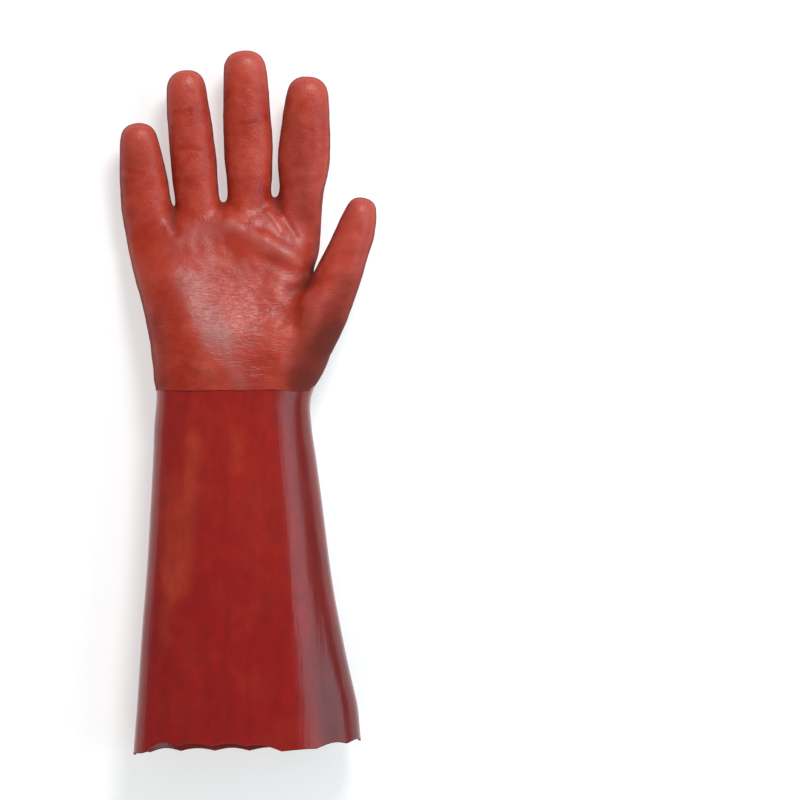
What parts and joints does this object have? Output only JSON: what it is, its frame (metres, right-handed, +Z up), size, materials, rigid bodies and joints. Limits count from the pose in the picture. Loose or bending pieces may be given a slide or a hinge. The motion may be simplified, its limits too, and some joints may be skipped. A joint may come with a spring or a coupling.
{
  "type": "pvc coated gauntlet work glove",
  "caption": "Right-hand work glove lying palm up: a rough coated hand with spread fingers on a long smooth flaring sleeve with a scalloped mouth",
  "frame": {"origin": "under the middle of the glove's box, on the surface that the glove lies on", "axes": "+Y towards the fingertips, +X towards the thumb, +Z up out of the palm"},
  "size_m": [0.1468, 0.4004, 0.057],
  "materials": {
    "rough_coat": "rough crinkled brick red coat with a soft satin sheen",
    "smooth_coat": "smooth glossy dark red coat"
  },
  "bodies": {
    "root": {"hand": "rough_coat", "gauntlet": "smooth_coat"}
  },
  "joints": []
}
